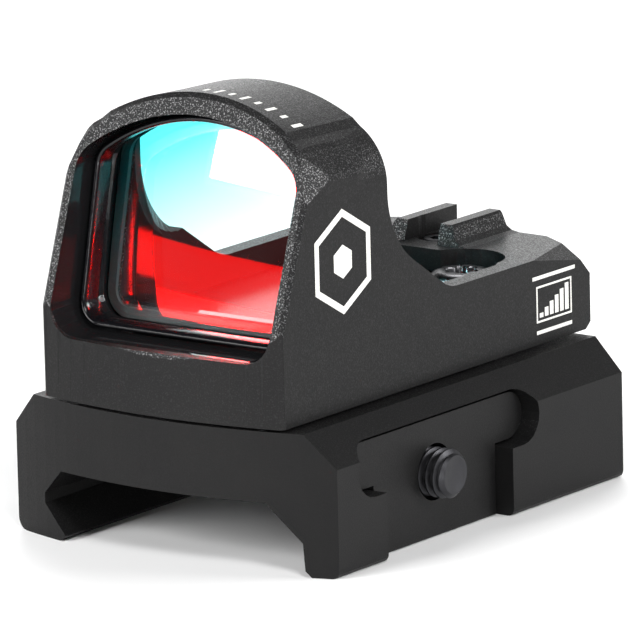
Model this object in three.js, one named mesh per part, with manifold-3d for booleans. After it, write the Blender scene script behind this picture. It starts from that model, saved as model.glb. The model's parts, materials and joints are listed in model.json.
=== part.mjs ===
// Micro red dot sight on a low rail mount. Millimetres, +Z up, front (target side) towards -Y.
// The origin is the centre of the rail seat, the flat roof of the groove in the mount's underside.
import * as THREE from 'three';
import { mergeVertices } from 'three/addons/utils/BufferGeometryUtils.js';
import Module from 'manifold-3d';

const wasm = await Module();
wasm.setup();

// ---------------------------------------------------------------- driving dimensions

const CLEAR = 0.3; // gap round pieces that sit in a pocket
const FINEST = 0.006; // slivers thinner than this are merged away

const MOUNT = {
  halfWidth: 15.84,
  cornerY: 19.36, // where the long sides end
  bulge: 2.8, // how far the curved front stands in front of its corners
  bottom: -5.71,
  top: 5.71,
  shoulder: { x: 13.29, z: 3.02 }, // ends of the 45 degree bevel along the top
  jaw: { roofX: 10.1, apexX: 12.2, apexTop: -2.1, apexLow: -2.94, lipX: 9.75, lipZ: -5.33 },
  wallX: 13.15, // inner face of the wall on the clamp side
};

const BOLT = {
  y: -4.42,
  z: -0.43,
  radius: 2.0,
  pitch: 0.7,
  tip: 16.3,
  headRadius: 3.1,
  headX: [-15.55, -13.1],
};

const PLATE = {
  outerX: 14.3,
  innerX: 11.9,
  lobe: { halfLength: 12.2, low: -0.14, high: 4.27 },
  stemHalfLength: 8.47,
};

const SIGHT = {
  halfWidth: 11.82,
  bottom: 5.95,
  frontCorner: -20.88,
  edgeBevel: 0.35, // narrow bevel round the front
  frontSag: { low: 1.28, slope: -0.0776 }, // bulge of the front wall's foot, and its change with height
  rearCorner: 20.83,
  rearMiddle: 21.3,
  deck: 13.0,
  crown: { apex: 30.35, radius: 18.1, tilt: 0.035 },
  shoulder: { radius: 5.18, z: 23.13 },
  rake: { z: 13.2, slope: 0.352 }, // the raked rim leans back from this height
};

// Flat facets on the corners of the hood's front and of the deck's rear, for the +X side.
const FACETS = {
  hoodFacet: { normal: [0.897, -0.196, 0.396], through: [11.82, -17.05, 23.08] },
  deckFacet: { normal: [0.533, 0.145, 0.833], through: [11.79, 12.96, 13.0] },
  cornerFacet: { normal: [0.4, 0.66, 0.63], through: [7.63, 20.98, 13.0] },
};

const WINDOW = {
  halfWidth: 10.82,
  low: 10.94,
  high: 28.7,
  arcRadius: 17.0,
  lowCorner: 2.4,
  highCorner: 2.4,
};

const LENS = {
  y: -15.0, // front of the glass at height z
  z: 14.74,
  slope: 0.222,
  bezelDepth: 2.0, // the bezel starts this far in front of the glass
  bezelWidth: 0.86,
  edge: 0.35, // gap from the glass to the tunnel wall
  front: 1.4, // edge thickness of the front element
  rear: 1.5,
  bulge: 0.55, // rise of the curved faces at the middle
};

const REAR = {
  hoodY: -6.53, // rear face of the hood
  arc: { y: 0.67, z: 22.22, radius: 7.2, turn: 56 },
  deckY: 1.49, // where the slope behind the hood would meet the deck
  fillet: 1.1,
  wall: 10.18, // inner face of the side walls
  floor: 10.8, // sunken floor between the walls
  stepY: 12.4, // rear end of the sunken floor at the middle
  sillY: -11.2, // rear of the low sill that holds the glass
  flare: { depth: 3.2, inner: 9.6, outer: 11.6 },
};

const FASTENER = {
  x: 6.24,
  y: 10.85,
  scallop: 3.55,
  headRadius: 2.64,
  headTop: 12.05,
  seat: 10.3,
  shank: 1.5,
};
const POST = { inner: 1.63, outer: 2.8, top: 14.64, foot: 4.6, front: 13.9 };
const BATTERY = { x: -2.4, y: -6.5, radius: 8, low: 6.93, height: 3.2 };
const DRAWER = { halfLength: 8.8, low: 6.6, high: 10.2, inner: 6.2 };
const BAY = { ceiling: 10.3, boardCeiling: 9.9 };
const COVER = { low: 5.97, high: 6.4, halfWidth: 10.4, front: -17.45, rear: 19.2, ledge: 6.65 };
const PINS = { x: 8.4, y: -18.95, radius: 1, low: 3.5, high: 6.8 }; // locate the sight on the mount
const COVER_SCREWS = [[9.4, -16.45], [-5.6, -16.45], [8.7, 17.6], [-5.5, 17.3]];
const DRAWER_SCREW = { y: BATTERY.y - DRAWER.halfLength - 1.9, z: 8.4, radius: 1, headRadius: 1.6 };
const LID_TAB = 3.8; // how far the drawer's lid runs past its frame, to take the screw
const BUTTON = { y: [10.2, 15.9], z: 8.65, radius: 1.5, flange: 1.85, nub: 0.7 };
const CHANNEL = { halfWidth: 2.7, front: 4.6, rear: 18.4, ceiling: 11.2 };
const ELEVATION = { y: 16.4, radius: 1.0, headRadius: 1.5 };
const WINDAGE = { y: 5.9, z: 9.15, radius: 0.8, headRadius: 1.5 };

const SEGMENTS = 36; // facets on a full round of ordinary size

// ---------------------------------------------------------------- solids

function signedVolume(positions, indices) {
  const [a, b, c] = [new THREE.Vector3(), new THREE.Vector3(), new THREE.Vector3()];
  let volume = 0;
  for (let i = 0; i < indices.length; i += 3) {
    a.fromArray(positions, indices[i] * 3);
    b.fromArray(positions, indices[i + 1] * 3);
    c.fromArray(positions, indices[i + 2] * 3);
    volume += a.dot(b.cross(c)) / 6;
  }
  return volume;
}

// Turns a closed three.js geometry into a manifold-3d solid with its faces pointing out.
function solid(geometry) {
  const bare = geometry.clone();
  bare.deleteAttribute('normal');
  bare.deleteAttribute('uv');
  const merged = mergeVertices(bare, 1e-4);
  const positions = Float32Array.from(merged.attributes.position.array);
  const indices = Uint32Array.from(merged.index.array);
  if (signedVolume(positions, indices) < 0) {
    for (let i = 0; i < indices.length; i += 3) {
      [indices[i + 1], indices[i + 2]] = [indices[i + 2], indices[i + 1]];
    }
  }
  const mesh = new wasm.Mesh({ numProp: 3, vertProperties: positions, triVerts: indices });
  mesh.merge();
  return new wasm.Manifold(mesh);
}

function join(first, ...others) {
  return others.reduce((sum, next) => sum.add(next), first);
}

function cut(first, ...others) {
  return others.reduce((rest, next) => rest.subtract(next), first);
}

function shapeOf(points) {
  return new THREE.Shape(points.map(([u, v]) => new THREE.Vector2(u, v)));
}

function extrude(points, depth) {
  return new THREE.ExtrudeGeometry(shapeOf(points), { depth, bevelEnabled: false });
}

// Prisms along each axis. An outline is given in (y, z), (x, z) or (x, y).
function prismX(points, low, high) {
  const toX = new THREE.Matrix4().set(0, 0, 1, low, 1, 0, 0, 0, 0, 1, 0, 0, 0, 0, 0, 1);
  return solid(extrude(points, high - low).applyMatrix4(toX));
}

function prismY(points, low, high) {
  return solid(extrude(points, high - low).rotateX(Math.PI / 2).translate(0, high, 0));
}

function prismZ(points, low, high) {
  return solid(extrude(points, high - low).translate(0, 0, low));
}

function box(x, y, z) {
  const geometry = new THREE.BoxGeometry(x[1] - x[0], y[1] - y[0], z[1] - z[0]);
  return solid(geometry.translate((x[0] + x[1]) / 2, (y[0] + y[1]) / 2, (z[0] + z[1]) / 2));
}

// A round piece turned from a profile of [radius, height] points that starts and ends on its axis.
function turned(profile, segments = SEGMENTS) {
  const points = profile.map(([radius, height]) => new THREE.Vector2(radius, height));
  return new THREE.LatheGeometry(points, segments).rotateX(Math.PI / 2);
}

function rod(radius, low, high, segments = SEGMENTS) {
  return turned([[0, low], [radius, low], [radius, high], [0, high]], segments);
}

function rodZ(radius, x, y, low, high, segments) {
  return solid(rod(radius, low, high, segments).translate(x, y, 0));
}

function rodX(radius, y, z, low, high, segments) {
  return solid(rod(radius, low, high, segments).rotateY(Math.PI / 2).translate(0, y, z));
}

function rodY(radius, x, z, low, high, segments) {
  return solid(rod(radius, -high, -low, segments).rotateX(Math.PI / 2).translate(x, 0, z));
}

// Triangles that fill a flat ring of points, all turning the same way as the ring does.
function fillRing(ring) {
  const spans = [0, 1, 2].map((k) => Math.max(...ring.map((p) => p[k])) - Math.min(...ring.map((p) => p[k])));
  const thin = spans.indexOf(Math.min(...spans));
  const flat = ring.map((p) => new THREE.Vector2(p[(thin + 1) % 3], p[(thin + 2) % 3]));
  const ringTurn = Math.sign(THREE.ShapeUtils.area(flat));
  return THREE.ShapeUtils.triangulateShape(flat, []).map(([a, b, c]) => {
    const turn = Math.sign(THREE.ShapeUtils.area([flat[a], flat[b], flat[c]]));
    return turn === ringTurn ? [a, b, c] : [c, b, a];
  });
}

function indexedSolid(rings, indices) {
  const geometry = new THREE.BufferGeometry();
  geometry.setAttribute('position', new THREE.Float32BufferAttribute(rings.flat(2), 3));
  geometry.setIndex(indices);
  return solid(geometry);
}

// Quads, as triangle pairs, between ring from and ring to, each of count points.
function wallBetween(from, to, count) {
  return Array.from({ length: count }, (_, i) => {
    const next = (i + 1) % count;
    const [a, b, c, d] = [from * count + i, from * count + next, to * count + next, to * count + i];
    return [a, b, c, a, c, d];
  }).flat();
}

// A closed skin over rings of equal length. The first and last rings are flat and are capped.
function loft(rings) {
  const count = rings[0].length;
  const last = rings.length - 1;
  const walls = rings.slice(1).flatMap((_, r) => wallBetween(r, r + 1, count));
  const firstCap = fillRing(rings[0]).flatMap(([a, b, c]) => [c, b, a]);
  const lastCap = fillRing(rings[last]).flat().map((i) => last * count + i);
  return indexedSolid(rings, [...walls, ...firstCap, ...lastCap]);
}

function arc(cx, cy, radius, from, to, steps) {
  return Array.from({ length: steps + 1 }, (_, i) => {
    const angle = THREE.MathUtils.degToRad(from + ((to - from) * i) / steps);
    return [cx + radius * Math.cos(angle), cy + radius * Math.sin(angle)];
  });
}

// Keeps the part of a solid whose points have normal . p < normal . through.
function trim(piece, normal, through) {
  const direction = new THREE.Vector3(...normal).normalize();
  const offset = direction.dot(new THREE.Vector3(...through));
  return piece.trimByPlane(direction.negate().toArray(), -offset);
}

// As trim, but only inside a region.
function shave(piece, region, normal, through) {
  return piece.subtract(region.subtract(trim(region, normal, through)));
}

// ---------------------------------------------------------------- rail mount

function mountPlan() {
  const { halfWidth, cornerY, bulge } = MOUNT;
  const radius = (halfWidth ** 2 + bulge ** 2) / (2 * bulge);
  const span = THREE.MathUtils.radToDeg(Math.asin(halfWidth / radius));
  const front = arc(0, -cornerY - bulge + radius, radius, -90 - span, -90 + span, 24);
  return [...front, [halfWidth, cornerY], [-halfWidth, cornerY]];
}

function mountSection() {
  const { halfWidth: w, bottom, top, shoulder, jaw, wallX } = MOUNT;
  return [
    [-shoulder.x, top],
    [-w, shoulder.z],
    ...arc(-w + 1, bottom + 1, 1, 180, 270, 5),
    ...arc(-jaw.lipX - 0.75, bottom + 0.5, 0.5, 270, 315, 3),
    [-jaw.lipX, jaw.lipZ + 0.1],
    [-jaw.apexX, jaw.apexLow],
    [-jaw.apexX, jaw.apexTop],
    [-jaw.roofX, 0],
    [jaw.roofX, 0],
    [wallX - 0.1, -2.99],
    [wallX + 0.05, -5.2],
    [13.7, bottom],
    ...arc(w - 0.6, bottom + 0.6, 0.6, 270, 360, 4),
    [w, shoulder.z],
    [shoulder.x, top],
  ];
}

// Outline of the clamp pocket in (y, z), a T whose bar has round ends. grow is negative for the plate.
function clampOutline(grow, bottom) {
  const { lobe, stemHalfLength } = PLATE;
  const low = lobe.low - grow;
  const high = lobe.high + grow;
  const radius = (high - low) / 2;
  const middle = (high + low) / 2;
  const reach = lobe.halfLength + grow - radius;
  const stem = stemHalfLength + grow;
  return [
    [BOLT.y + stem, bottom],
    [BOLT.y + stem, low],
    ...arc(BOLT.y + reach, middle, radius, -90, 90, 10),
    ...arc(BOLT.y - reach, middle, radius, 90, 270, 10),
    [BOLT.y - stem, low],
    [BOLT.y - stem, bottom],
  ];
}

function railMount() {
  const block = prismY(mountSection(), -30, 30).intersect(prismZ(mountPlan(), -10, 10));
  const beyond = MOUNT.halfWidth + 5;
  const pocket = prismX(clampOutline(0, MOUNT.bottom - 5), PLATE.innerX - CLEAR, beyond);
  const throat = box(
    [MOUNT.jaw.roofX - 0.2, beyond],
    [BOLT.y - PLATE.stemHalfLength, BOLT.y + PLATE.stemHalfLength],
    [MOUNT.bottom - 5, PLATE.lobe.low],
  );
  const bore = rodX(BOLT.radius + 0.35, BOLT.y, BOLT.z, -beyond, beyond);
  const headRecess = rodX(BOLT.headRadius + CLEAR, BOLT.y, BOLT.z, -beyond, BOLT.headX[1] + CLEAR);
  const clipRecess = rodX(2.95, BOLT.y, BOLT.z, -MOUNT.jaw.roofX - 0.2, -MOUNT.jaw.roofX + 1.6);
  const threads = [1, -1].map((side) => rodZ(FASTENER.shank + 0.1, side * FASTENER.x, FASTENER.y, 0.9, 9));
  const { radius, x, y, low } = PINS;
  const pinHoles = [1, -1].map((side) => rodZ(radius + 0.15, side * x, y, low - 0.1, 9, 24));
  return cut(block, pocket, throat, bore, headRecess, clipRecess, ...threads, ...pinHoles);
}

function clampPlate() {
  const { jaw, bottom } = MOUNT;
  const outline = clampOutline(-CLEAR, bottom + 0.1);
  const outer = prismX(outline, 5, PLATE.outerX);
  const section = [
    [PLATE.outerX + 1, PLATE.lobe.high],
    [PLATE.innerX, PLATE.lobe.high],
    [PLATE.innerX, -0.2],
    [jaw.roofX + 0.5, -0.5],
    [jaw.apexX, jaw.apexTop],
    [jaw.apexX, jaw.apexLow],
    [jaw.lipX, jaw.lipZ],
    [jaw.lipX + 0.4, bottom + 0.1],
    [PLATE.outerX + 1, bottom + 0.1],
  ];
  const hooked = outer.intersect(prismY(section, -30, 30));
  return cut(hooked, rodX(BOLT.radius + CLEAR, BOLT.y, BOLT.z, 5, 20));
}

// The cross bolt is turned about Z and then laid along X, head first.
function clampScrew() {
  const { radius, pitch, tip, headRadius, headX } = BOLT;
  const crests = Math.floor((tip - 0.6 - PLATE.innerX) / pitch);
  const [end, under] = headX;
  const head = [[0, end], [headRadius - 0.4, end], [headRadius, end + 0.4], [headRadius, under]];
  const profile = [...head, [radius, under]];
  const start = tip - 0.6 - crests * pitch;
  for (let i = 0; i < crests; i += 1) {
    const at = start + i * pitch;
    profile.push([radius, at], [radius - 0.35, at + pitch * 0.35], [radius, at + pitch * 0.7]);
  }
  profile.push([radius, tip - 0.5], [radius - 0.4, tip], [0, tip]);
  const socket = solid(rod(1.45, end - 1.5, end + 1.5, 6));
  const body = cut(solid(turned(profile, 28)), socket);
  return body.rotate([0, 90, 0]).translate([0, BOLT.y, BOLT.z]);
}

function clampClip() {
  const low = -MOUNT.jaw.roofX + 0.35;
  const ring = rodX(2.75, BOLT.y, BOLT.z, low, low + 0.5, 28);
  const slot = box([-20, 0], [BOLT.y - 0.8, BOLT.y + 0.8], [BOLT.z - 4, BOLT.z]);
  return cut(ring, rodX(BOLT.radius + 0.15, BOLT.y, BOLT.z, -20, 0, 28), slot);
}

// ---------------------------------------------------------------- sight housing

const rimY = (z) => SIGHT.frontCorner + (z - SIGHT.rake.z) * SIGHT.rake.slope;
const glassY = (z, depth = 0) => LENS.y + depth + (z - LENS.z) * LENS.slope;

// Arched section of the hood in (x, z). With faceted true the shoulders are flat bevels instead of round.
function hoodSection(inset, faceted) {
  const { halfWidth, crown, shoulder } = SIGHT;
  const centreX = halfWidth - shoulder.radius;
  const meet = Math.asin(centreX / (crown.radius - shoulder.radius));
  const crownTop = 90 - THREE.MathUtils.radToDeg(meet);
  const planes = [0, 36, crownTop];
  const half = [];
  for (let i = 0; i <= 12; i += 1) {
    const angle = (crownTop * i) / 12;
    const reaches = planes.map((at) => shoulder.radius / Math.cos(THREE.MathUtils.degToRad(angle - at)));
    const radius = (faceted ? Math.min(...reaches) : shoulder.radius) - inset;
    const turn = THREE.MathUtils.degToRad(angle);
    half.push([centreX + radius * Math.cos(turn), shoulder.z + radius * Math.sin(turn)]);
  }
  const crownZ = crown.apex - crown.radius;
  half.push(...arc(0, crownZ, crown.radius - inset, crownTop, 90, 12).slice(1));
  const low = [halfWidth - inset, 0];
  const right = [low, ...half];
  const left = right.slice(0, -1).reverse().map(([x, z]) => [-x, z]);
  return [...right, ...left];
}

// The hood as a skin from the raked rim to the rear: a bevel, flat shoulders, then round ones.
function hoodEnvelope() {
  const { edgeBevel, crown } = SIGHT;
  const lean = (z, y) => z - (y + 16) * crown.tilt;
  const rim = hoodSection(edgeBevel, true).map(([x, z]) => [x, rimY(z), z]);
  const shoulderStart = hoodSection(0, true).map(([x, z]) => [x, rimY(z) + edgeBevel, z]);
  const straight = (faceted, y) => hoodSection(0, faceted).map(([x, z]) => [x, y, z > 0 ? lean(z, y) : z]);
  return loft([rim, shoulderStart, straight(true, -10.4), straight(false, -8.2), straight(false, 30)]);
}

function frontOutline(z) {
  const { halfWidth, edgeBevel, frontCorner, frontSag } = SIGHT;
  const edge = halfWidth - edgeBevel;
  const sag = frontSag.low + frontSag.slope * (z - SIGHT.bottom);
  const front = Array.from({ length: 17 }, (_, i) => {
    const x = edge * (i / 8 - 1);
    return [x, frontCorner - sag * (1 - (x / edge) ** 2), z];
  });
  const { rearCorner, rearMiddle } = SIGHT;
  const rearY = (t) => rearMiddle - (rearMiddle - rearCorner) * t * t;
  const rear = [1, 0.6, 0.2, -0.2, -0.6, -1].map((t) => [halfWidth * t, rearY(t), z]);
  const corner = frontCorner + edgeBevel;
  return [[-halfWidth, corner, z], ...front, [halfWidth, corner, z], ...rear];
}

// Outline, in (y, z), of the open space behind the hood and above the deck. grow pushes its upright
// and round stretches into the side walls, and leaves the slope and the deck where they are.
function spaceBehind(grow = 0) {
  const { hoodY, arc: bend, deckY, fillet } = REAR;
  const radius = fillet / Math.tan(THREE.MathUtils.degToRad((90 - bend.turn) / 2));
  const round = (extra) => arc(bend.y, bend.z, bend.radius + extra, 180, 180 + bend.turn, 12);
  const [plain, grown] = [round(0), round(grow)];
  const blended = plain.map(([y, z], i) => {
    const share = 1 - (i / 12) ** 3;
    return [y + (grown[i][0] - y) * share, z + (grown[i][1] - z) * share];
  });
  const foot = arc(deckY + fillet, SIGHT.deck + radius, radius, 180 + bend.turn, 270, 4);
  return [[40, 60], [hoodY - grow, 60], ...blended, ...foot, [40, SIGHT.deck]];
}

function windowOutline(grow, steps = 8) {
  const { halfWidth, low, high, arcRadius, lowCorner, highCorner } = WINDOW;
  const w = halfWidth + grow;
  const r1 = Math.max(lowCorner + grow, 0.3);
  const r2 = Math.max(highCorner + grow, 0.3);
  const top = high + grow;
  const big = arcRadius + grow;
  const cornerX = w - r2;
  const centreZ = top - big;
  const cornerZ = centreZ + Math.sqrt((big - r2) ** 2 - cornerX ** 2);
  const lean = THREE.MathUtils.radToDeg(Math.asin(cornerX / (big - r2)));
  const right = [
    ...arc(w - r1, low - grow + r1, r1, -90, 0, steps),
    ...arc(cornerX, cornerZ, r2, 0, 90 - lean, steps),
    ...arc(0, centreZ, big, 90 - lean, 90, 10).slice(1),
  ];
  const left = right.slice(0, -1).reverse().map(([x, z]) => [-x, z]);
  return [...right, ...left];
}

function tunnel(grow, from, to) {
  const outline = windowOutline(grow);
  return loft([outline.map(([x, z]) => [x, from(z), z]), outline.map(([x, z]) => [x, to(z), z])]);
}

// The sunken floor between the side walls, with a scallop round each mounting screw.
function sunkenPlan() {
  const { wall, stepY, hoodY } = REAR;
  const { x, y, scallop } = FASTENER;
  const reach = THREE.MathUtils.radToDeg(Math.acos((stepY - y) / scallop));
  const right = [[wall, hoodY], [wall, y - 0.8], ...arc(x, y, scallop, 0, 90 + reach, 14)];
  const left = [...right].reverse().map(([px, py]) => [-px, py]);
  return [...right, ...left];
}

function rearPosts() {
  const { inner, outer, top, foot, front } = POST;
  const deck = SIGHT.deck - 0.2;
  const flare = [
    [inner, deck],
    [foot, deck],
    [foot, SIGHT.deck],
    [foot - 0.75, SIGHT.deck + 0.12],
    [foot - 1.25, SIGHT.deck + 0.45],
    [outer + 0.1, top - 0.2],
    [outer - 0.1, top],
    [inner, top],
  ];
  return [1, -1].map((side) => {
    const post = prismY(flare.map(([x, z]) => [side * x, z]), front - 1.5, SIGHT.rearMiddle + 1);
    return trim(post, [0, -1, 0.35], [0, front, SIGHT.deck]);
  });
}

// The hood's opening widens towards the rear: round the top and sides, and down along both side walls.
function rearFlare() {
  const { depth, inner, outer } = REAR.flare;
  const { hoodY } = REAR;
  const grow = (x) => x - WINDOW.halfWidth;
  const ring = (x, y) => windowOutline(grow(x)).map(([px, pz]) => [px, y, pz]);
  const cone = loft([ring(inner, hoodY - depth), ring(outer, hoodY), ring(outer, hoodY + 1)]);
  const above = box([-20, 20], [-20, 0], [REAR.arc.z, 40]);
  const below = box([-20, 20], [-20, 20], [0, REAR.arc.z]);
  const sides = [1, -1].map((side) => loft([
    spaceBehind(depth).map(([y, z]) => [side * inner, y, z]),
    spaceBehind(0).map(([y, z]) => [side * outer, y, z]),
  ]).intersect(below));
  return join(cone.intersect(above), ...sides);
}

function sightBody() {
  const { bottom, deck, rearCorner } = SIGHT;
  const plan = loft([frontOutline(bottom), frontOutline(40)]);
  let body = plan.intersect(hoodEnvelope());
  // Side outline: the space behind the hood, and the undercut below the rear face.
  body = cut(body, prismX(spaceBehind(), -30, 30));
  body = body.add(rearPosts()[0]).add(rearPosts()[1]).intersect(plan);
  body = trim(body, [0, 0.8, -1], [0, rearCorner, bottom + 0.55]);
  const { hoodFacet, deckFacet, cornerFacet } = FACETS;
  const tail = box([-20, 20], [REAR.stepY, 30], [0, 40]);
  for (const side of [1, -1]) {
    const mirror = ([x, y, z]) => [side * x, y, z];
    body = trim(body, mirror(hoodFacet.normal), mirror(hoodFacet.through));
    body = shave(body, tail, mirror(deckFacet.normal), mirror(deckFacet.through));
    body = shave(body, tail, mirror(cornerFacet.normal), mirror(cornerFacet.through));
  }
  // Lens tunnel: the front part seats the bezel and glass, the rear part is a smaller opening behind it.
  const seatDepth = LENS.front + LENS.rear + 0.55;
  const front = tunnel(0, () => -30, (z) => glassY(z, seatDepth));
  const rear = tunnel(-LENS.bezelWidth - 0.3, (z) => glassY(z, seatDepth - 0.1), () => REAR.hoodY + 1);
  const sill = box([-9.66, 9.66], [REAR.sillY, REAR.hoodY + 1], [REAR.floor, deck]);
  const sunken = prismZ(sunkenPlan(), REAR.floor, 40);
  body = cut(body, front, rear, sill, sunken, rearFlare());
  return cutInside(body);
}

// Cavities open to the underside and the -X side: cover ledge, battery bay, board bay, wire slot.
function bays() {
  const edge = -SIGHT.halfWidth - 1;
  const { halfWidth, front, rear, ledge } = COVER;
  const bayEnd = BATTERY.y + DRAWER.halfLength + 0.15;
  const bayStart = BATTERY.y - DRAWER.halfLength - 0.15;
  return [
    box([-halfWidth - 0.1, halfWidth + 0.1], [front - 0.1, rear + 0.1], [0, ledge]),
    box([edge, 8.6], [bayStart, bayEnd], [6.5, BAY.ceiling]),
    box([edge, edge + 2.15], [bayStart - LID_TAB, bayEnd + 0.2], [6.45, BAY.ceiling + 0.05]),
    box([-10, 10], [4.1, 18.9], [6.5, BAY.boardCeiling]),
    box([3.2, 8.4], [bayEnd - 1, 5], [6.5, 9.2]),
  ];
}

// Solid columns left standing in the board bay for the mounting screws and the rear cover screws.
function bayColumns() {
  const top = BAY.boardCeiling + 0.2;
  const large = [1, -1].map((side) => rodZ(2.4, side * FASTENER.x, FASTENER.y, COVER.ledge, top));
  const small = COVER_SCREWS.slice(2).map(([x, y]) => rodZ(1.4, x, y, COVER.ledge, top, 24));
  return [...large, ...small];
}

function verticalHoles() {
  const { x, y, headRadius, seat, shank } = FASTENER;
  const fasteners = [1, -1].flatMap((side) => [
    rodZ(shank + 0.25, side * x, y, 0, seat + 1),
    rodZ(headRadius + CLEAR, side * x, y, seat, 20),
    rodZ(PINS.radius + 0.15, side * PINS.x, PINS.y, 0, PINS.high + 0.3, 24),
  ]);
  const { radius, headRadius: cap, y: screwY } = ELEVATION;
  const elevation = [
    rodZ(radius + 0.2, 0, screwY, 8, 20, 28),
    rodZ(cap + 0.2, 0, screwY, SIGHT.deck - 0.95, 20, 28),
  ];
  const cover = COVER_SCREWS.map(([px, py]) => rodZ(0.75, px, py, 0, 8.4, 20));
  return [...fasteners, ...elevation, ...cover];
}

// Holes in the -X side for the windage screw, the two push buttons and the drawer's screw.
function sideHoles() {
  const side = -SIGHT.halfWidth;
  const { radius, headRadius, y, z } = WINDAGE;
  const windage = [
    rodX(radius + 0.2, y, z, side - 1, 0, 28),
    rodX(headRadius + 0.2, y, z, side - 1, side + 0.95, 28),
  ];
  const buttons = BUTTON.y.flatMap((at) => [
    rodX(BUTTON.radius + 0.15, at, BUTTON.z, side - 1, -9.5, 32),
    rodX(BUTTON.flange + 0.1, at, BUTTON.z, -10.75, -9.5, 32),
  ]);
  const drawerScrew = rodX(DRAWER_SCREW.radius + 0.15, DRAWER_SCREW.y, DRAWER_SCREW.z, side, -6.7, 24);
  return [...windage, ...buttons, drawerScrew];
}

function cutInside(shell) {
  const { halfWidth, front, rear, ceiling } = CHANNEL;
  const channel = box([-halfWidth, halfWidth], [front, rear], [8.5, ceiling]);
  const hollow = join(cut(shell, ...bays()), ...bayColumns());
  return cut(hollow, channel, ...verticalHoles(), ...sideHoles());
}

// ---------------------------------------------------------------- glass

// A lens element as stacked copies of the window outline. Both faces bulge towards the front.
function glass(grow, from, to) {
  const steps = [1, 0.7, 0.4, 0.08];
  const outline = windowOutline(grow, 5);
  const middle = (WINDOW.low + WINDOW.high) / 2;
  const ringAt = (scale, depth) => outline.map(([x, z]) => {
    const height = middle + (z - middle) * scale;
    return [x * scale, glassY(height, depth - LENS.bulge * (1 - scale ** 2)), height];
  });
  const frontRings = steps.map((scale) => ringAt(scale, from)).reverse();
  const rearRings = steps.map((scale) => ringAt(scale, to));
  return loft([...frontRings, ...rearRings]);
}

function lensBezel() {
  const outer = -LENS.edge + 0.15;
  const { bezelWidth, bezelDepth } = LENS;
  const rings = [
    [outer, -0.1],
    [outer, -bezelDepth],
    [-bezelWidth * 0.55, -bezelDepth - 0.28],
    [-bezelWidth * 0.85, -bezelDepth - 0.18],
    [-bezelWidth, -bezelDepth + 0.12],
    [-bezelWidth, -0.1],
    [outer, -0.1],
  ];
  return closedRing(rings.slice(0, -1));
}

// A closed band: each [grow, depth] pair is one loop round the window outline, laid on the glass plane.
function closedRing(section) {
  const loop = ([grow, depth]) => windowOutline(grow).map(([x, z]) => [x, glassY(z, depth), z]);
  const loops = section.map(loop);
  const last = loops.length - 1;
  const count = loops[0].length;
  return indexedSolid(loops, loops.flatMap((_, r) => wallBetween(r, r === last ? 0 : r + 1, count)));
}

// ---------------------------------------------------------------- inside pieces

function bottomCover() {
  const { low, high, halfWidth, front, rear } = COVER;
  const plate = box([-halfWidth, halfWidth], [front, rear], [low, high]);
  const columns = [1, -1].map((side) => rodZ(FASTENER.shank + 0.25, side * FASTENER.x, FASTENER.y, 0, 9));
  const corners = COVER_SCREWS.map(([x, y]) => rodZ(0.75, x, y, 0, 9, 20));
  return cut(plate, ...columns, ...corners);
}

function coverGasket() {
  const { high, halfWidth, front, rear } = COVER;
  const z = [high + 0.02, high + 0.12];
  const ring = box([-halfWidth + 0.1, halfWidth - 0.1], [front + 0.1, rear - 0.1], z);
  const hole = box([-halfWidth + 0.4, halfWidth - 0.4], [front + 0.4, rear - 0.4], [0, 20]);
  return cut(ring, hole);
}

function batteryDrawer() {
  const { low, high, halfLength, inner } = DRAWER;
  const w = SIGHT.halfWidth;
  const frame = box([-w + 1, inner], [BATTERY.y - halfLength, BATTERY.y + halfLength], [low, high]);
  const lidY = [BATTERY.y - halfLength - LID_TAB, BATTERY.y + halfLength + 0.15];
  const lid = box([-w, -w + 1.05], lidY, [low, high + 0.05]);
  const well = rodZ(BATTERY.radius + 0.15, BATTERY.x, BATTERY.y, low + 0.3, 20, 56);
  const window = rodZ(4.5, BATTERY.x, BATTERY.y, 0, 20);
  const screw = rodX(DRAWER_SCREW.radius + 0.15, DRAWER_SCREW.y, DRAWER_SCREW.z, -20, 0, 24);
  const head = rodX(DRAWER_SCREW.headRadius + 0.12, DRAWER_SCREW.y, DRAWER_SCREW.z, -20, -w + 0.6, 24);
  // Slots let the two contacts reach the battery and clear the drawer as it slides.
  const sideSlot = box([5.4, inner + 1], [BATTERY.y - 3.4, BATTERY.y + 3.4], [low + 0.3, high + 1]);
  const baseSlot = box([BATTERY.x, inner + 1], [BATTERY.y - 1.25, BATTERY.y + 1.25], [low - 1, low + 0.4]);
  return cut(frame.add(lid), well, window, sideSlot, baseSlot, screw, head);
}

function drawerSeal() {
  const { low, high, halfLength } = DRAWER;
  const x = [-SIGHT.halfWidth + 1.55, -SIGHT.halfWidth + 1.95];
  const y = [BATTERY.y - halfLength, BATTERY.y + halfLength];
  return cut(box(x, [y[0] - 0.12, y[1] + 0.12], [low - 0.05, high + 0.07]), box([-20, 0], y, [low, high]));
}

function battery() {
  const { radius: r, low, height: h } = BATTERY;
  const top = low + h;
  const profile = [[0, low], [r - 1, low], [r - 0.8, low + 0.25], [r - 0.2, low + 0.3], [r, low + 0.5]];
  profile.push([r, top - 0.25], [r - 0.25, top], [0, top]);
  return solid(turned(profile, 56).translate(BATTERY.x, BATTERY.y, 0));
}

// A bowed leaf on the board that lifts the emitter carriage against its screw, in (y, z).
function returnSpring() {
  return prismX([[13, 7.93], [17, 7.93], [16.2, 8.2], [15, 8.38], [13.8, 8.2]], -1.2, 1.2);
}

// A bowed leaf behind the drawer's inner end, touching the battery's rim, in (x, y).
function sideContact() {
  const { y } = BATTERY;
  const outline = [[7.0, y - 3], [7.25, y - 3], [5.9, y], [7.25, y + 3], [7.0, y + 3], [5.65, y]];
  return prismZ(outline, 7.0, 9.9);
}

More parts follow.
